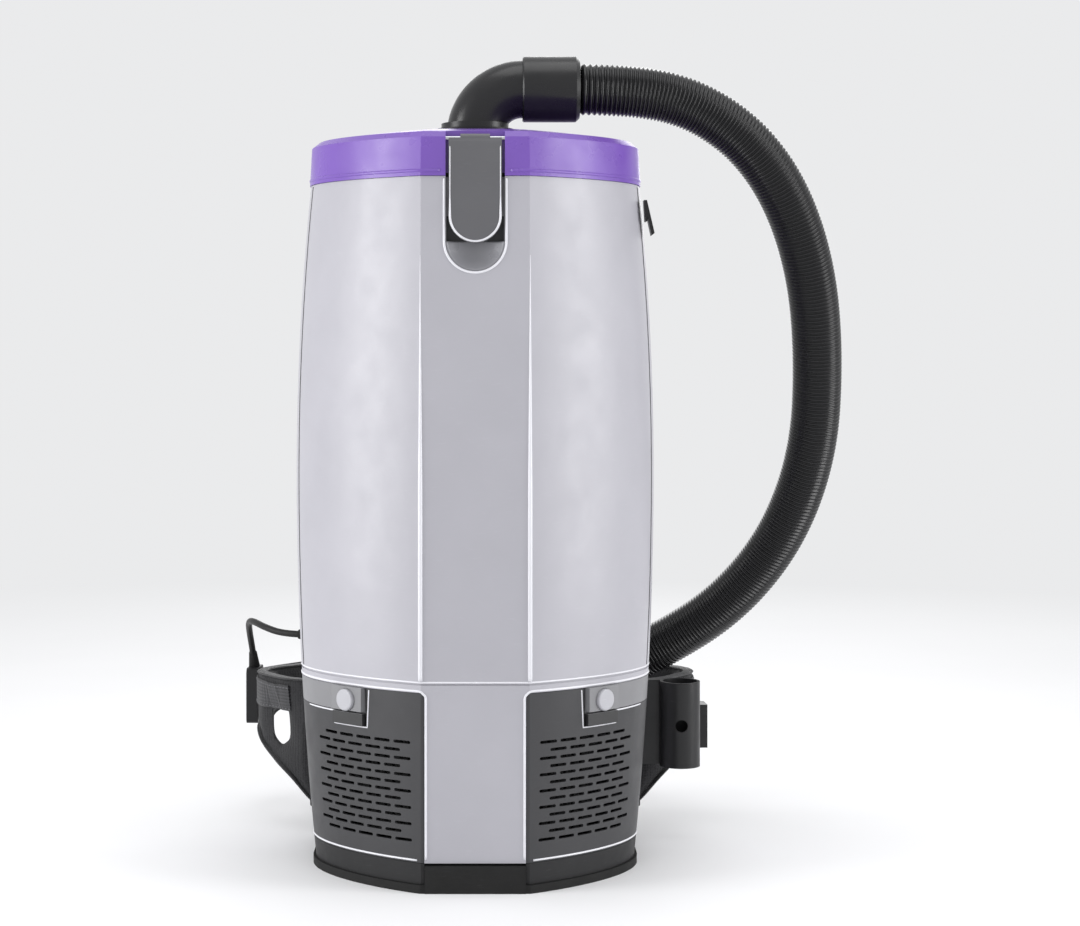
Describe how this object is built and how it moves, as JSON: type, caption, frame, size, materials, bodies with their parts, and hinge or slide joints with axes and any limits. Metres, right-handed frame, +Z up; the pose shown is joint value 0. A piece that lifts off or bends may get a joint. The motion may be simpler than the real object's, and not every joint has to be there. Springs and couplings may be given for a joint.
{
  "type": "backpack vacuum cleaner",
  "caption": "Backpack vacuum cleaner: barrel-shaped casing with a lift-off lid, latches, swivelling hose elbow, ribbed hose, vented base, padded harness and hip belt.",
  "frame": {"origin": "on the floor, under the middle of the casing", "axes": "+Z up along the casing; -Y is the outward face; +Y is the wearer's side; +X is the machine's right as seen facing the outward face"},
  "size_m": [0.5467, 0.4305, 0.69],
  "materials": {
    "casing_grey": "satin moulded plastic with a fine texture",
    "grille_grey": "satin dark grey moulded plastic",
    "button_grey": "satin grey plastic",
    "black_plastic": "satin black plastic",
    "base_black": "textured black plastic",
    "rubber_black": "matt black rubber",
    "steel": "zinc plated",
    "inner_grey": "matt grey plastic",
    "bag_cloth": "soft non-woven filter cloth",
    "bag_card": "stiff card",
    "aluminium": "turned and pressed",
    "laminations": "stacked steel laminations",
    "filter_foam": "charcoal filter foam",
    "lid_purple": "satin purple moulded plastic",
    "elbow_black": "satin black plastic",
    "hose_black": "glossy black ribbed vinyl",
    "latch_grey": "satin dark grey plastic",
    "plate_black": "textured black plastic",
    "pad_fabric": "black mesh fabric over foam",
    "webbing": "black ribbed webbing",
    "buckle_black": "satin black acetal",
    "holder_grey": "satin grey plastic",
    "rocker_grey": "glossy dark plastic",
    "cable_black": "black cable jacket"
  },
  "bodies": {
    "machine": {"backplate": "plate_black", "backplate_screws": "steel", "bag_collar": "bag_card", "bag_frame": "inner_grey", "base_bumper": "rubber_black", "base_pan": "base_black", "base_screws": "steel", "belt_adjuster_right": "buckle_black", "belt_webbing": "webbing", "buckle_plug": "buckle_black", "buckle_socket": "buckle_black", "cable_gland": "rubber_black", "exhaust_filters": "filter_foam", "fan_shroud": "aluminium", "filter_bag": "bag_cloth", "foot_pads": "rubber_black", "front_shell": "casing_grey", "grab_handle": "webbing", "grille_catch_left": "black_plastic", "grille_catch_right": "black_plastic", "hip_pad_left": "pad_fabric", "hip_pad_right": "pad_fabric", "lower_rear_shell": "casing_grey", "lumbar_pad": "pad_fabric", "motor_bearings": "steel", "motor_can": "aluminium", "motor_deck": "inner_grey", "motor_mount": "rubber_black", "rear_shell": "casing_grey", "shoulder_strap_left": "pad_fabric", "shoulder_strap_right": "pad_fabric", "side_hook": "black_plastic", "stator_core": "laminations", "sternum_buckle": "buckle_black", "sternum_webbing": "webbing", "strap_adjusters": "buckle_black", "strap_anchors": "buckle_black", "strap_webbing": "webbing", "switch_box": "black_plastic", "switch_cable": "cable_black", "tool_holder": "holder_grey", "upper_pad": "pad_fabric"},
    "lid": {"lid": "lid_purple", "lid_gasket": "rubber_black", "inlet_port": "black_plastic", "latch_pins": "steel", "hose": "hose_black", "straight_cuff": "elbow_black"},
    "elbow": {"hose_elbow": "elbow_black", "hose_coupling": "elbow_black"},
    "front_latch_lever": {"front_latch": "latch_grey"},
    "rear_latch_lever": {"rear_latch": "latch_grey"},
    "grille_r": {"grille_right": "grille_grey"},
    "grille_l": {"grille_left": "grille_grey"},
    "button_r": {"button_right": "button_grey"},
    "button_l": {"button_left": "button_grey"},
    "rotor": {"motor_shaft": "steel", "rotor_core": "laminations", "impeller": "aluminium"},
    "rocker": {"switch_rocker": "rocker_grey"}
  },
  "joints": [
    {"name": "lid_lift", "type": "slide", "parent": "machine", "child": "lid", "axis": [0, 0, 1], "range_m": [0, 0.12]},
    {"name": "hose_swivel", "type": "hinge", "parent": "lid", "child": "elbow", "pos_m": [0, 0, 0.63], "axis": [0, 0, 1], "range_deg": [-30, 30], "deforming": ["hose"]},
    {"name": "front_latch_hinge", "type": "hinge", "parent": "lid", "child": "front_latch_lever", "pos_m": [0, -0.101, 0.61], "axis": [-1, 0, 0], "range_deg": [0, 80]},
    {"name": "rear_latch_hinge", "type": "hinge", "parent": "lid", "child": "rear_latch_lever", "pos_m": [0, 0.1005, 0.61], "axis": [1, 0, 0], "range_deg": [0, 80]},
    {"name": "grille_right_pull", "type": "slide", "parent": "machine", "child": "grille_r", "axis": [0.6601, -0.7511, 0], "range_m": [0, 0.05]},
    {"name": "grille_left_pull", "type": "slide", "parent": "machine", "child": "grille_l", "axis": [-0.6601, -0.7511, 0], "range_m": [0, 0.05]},
    {"name": "button_right_press", "type": "slide", "parent": "machine", "child": "button_r", "axis": [-0.6601, 0.7511, 0], "range_m": [0, 0.003], "stiffness_N_per_m": 600, "springref_m": -0.001},
    {"name": "button_left_press", "type": "slide", "parent": "machine", "child": "button_l", "axis": [0.6601, 0.7511, 0], "range_m": [0, 0.003], "stiffness_N_per_m": 600, "springref_m": -0.001},
    {"name": "fan_spin", "type": "hinge", "parent": "machine", "child": "rotor", "pos_m": [0, 0, 0.12], "axis": [0, 0, 1], "continuous": true},
    {"name": "switch_rock", "type": "hinge", "parent": "machine", "child": "rocker", "pos_m": [-0.21318, 0.20591, 0.113], "axis": [-0.057, -0.9984, 0], "range_deg": [-8, 8]}
  ]
}
